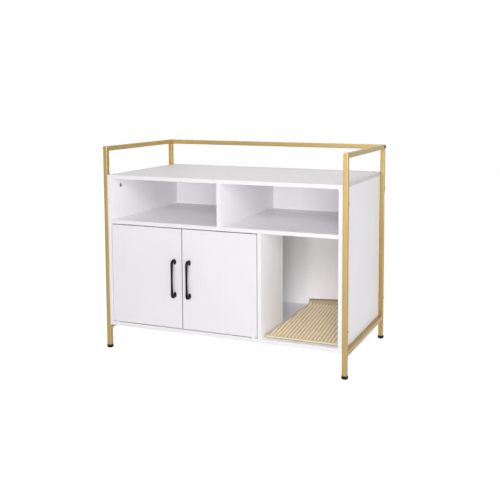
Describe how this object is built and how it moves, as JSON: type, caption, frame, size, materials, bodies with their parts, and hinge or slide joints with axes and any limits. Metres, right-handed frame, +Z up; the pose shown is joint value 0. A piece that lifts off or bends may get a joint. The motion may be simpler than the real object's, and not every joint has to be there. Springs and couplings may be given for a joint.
{
  "type": "cat cabinet",
  "caption": "White litter-box cabinet between gold square-tube side frames, with double doors, an open matted entry, open cubbies above and a railed top for a cat.",
  "frame": {"origin": "on the floor at the middle of the bounding box", "axes": "+X to the right seen from the front, +Y to the rear, +Z up"},
  "size_m": [1.007, 0.5515, 0.806],
  "materials": {
    "gold_tube": "satin metallic gold",
    "gold_bolt": "satin metallic gold",
    "black_bolt": "black oxide",
    "white_board": "satin white coating",
    "white_back_board": "matt white coating",
    "black_handle": "satin black",
    "black_plastic": "moulded",
    "white_plastic": "moulded",
    "zinc_steel": "zinc plated",
    "dark_zinc": "die cast",
    "brass_insert": "turned",
    "magnet": "nickel plated",
    "beech": "raw",
    "woven_fibre": "woven"
  },
  "bodies": {
    "cabinet": {"back_panel_nails": "zinc_steel", "back_rail_bolts": "black_bolt", "back_rail_plugs": "zinc_steel", "back_top_rail": "gold_tube", "bottom_panel": "white_board", "cam_bolts": "zinc_steel", "cam_locks": "dark_zinc", "catch_housing": "white_plastic", "catch_magnets": "magnet", "catch_screws": "zinc_steel", "divider_screws": "zinc_steel", "entry_mat": "woven_fibre", "frame_bolts": "gold_bolt", "front_left_leg": "gold_tube", "front_right_leg": "gold_tube", "left_bottom_rail": "gold_tube", "left_hinge_pins": "zinc_steel", "left_hinge_washer": "white_plastic", "left_side_panel": "white_board", "left_top_rail": "gold_tube", "leg_inserts": "black_plastic", "lower_back_panel": "white_back_board", "lower_divider": "white_board", "middle_shelf": "white_board", "panel_inserts": "brass_insert", "rear_left_leg": "gold_tube", "rear_right_leg": "gold_tube", "right_bottom_rail": "gold_tube", "right_hinge_pins": "zinc_steel", "right_hinge_washer": "white_plastic", "right_side_panel": "white_board", "right_top_rail": "gold_tube", "top_panel": "white_board", "top_rail_caps": "black_plastic", "upper_back_panel": "white_back_board", "upper_divider": "white_board", "wood_dowels": "beech"},
    "left_door_leaf": {"left_door": "white_board", "left_handle": "black_handle", "left_handle_screws": "zinc_steel", "left_hinge_bushes": "white_plastic", "left_strike_plate": "zinc_steel", "left_strike_screw": "zinc_steel"},
    "right_door_leaf": {"right_door": "white_board", "right_handle": "black_handle", "right_handle_screws": "zinc_steel", "right_hinge_bushes": "white_plastic", "right_strike_plate": "zinc_steel", "right_strike_screw": "zinc_steel"},
    "front_left_foot_leveller": {"front_left_foot": "black_plastic"},
    "front_right_foot_leveller": {"front_right_foot": "black_plastic"},
    "rear_left_foot_leveller": {"rear_left_foot": "black_plastic"},
    "rear_right_foot_leveller": {"rear_right_foot": "black_plastic"}
  },
  "joints": [
    {"name": "left_door_hinge", "type": "hinge", "parent": "cabinet", "child": "left_door_leaf", "pos_m": [-0.447, -0.24025, 0.30725], "axis": [0, 0, -1], "range_deg": [0, 110]},
    {"name": "right_door_hinge", "type": "hinge", "parent": "cabinet", "child": "right_door_leaf", "pos_m": [0.1365, -0.24025, 0.30725], "axis": [0, 0, 1], "range_deg": [0, 110]},
    {"name": "front_left_foot_level", "type": "slide", "parent": "cabinet", "child": "front_left_foot_leveller", "axis": [0, 0, -1], "range_m": [0, 0.012]},
    {"name": "front_right_foot_level", "type": "slide", "parent": "cabinet", "child": "front_right_foot_leveller", "axis": [0, 0, -1], "range_m": [0, 0.012]},
    {"name": "rear_left_foot_level", "type": "slide", "parent": "cabinet", "child": "rear_left_foot_leveller", "axis": [0, 0, -1], "range_m": [0, 0.012]},
    {"name": "rear_right_foot_level", "type": "slide", "parent": "cabinet", "child": "rear_right_foot_leveller", "axis": [0, 0, -1], "range_m": [0, 0.012]}
  ]
}
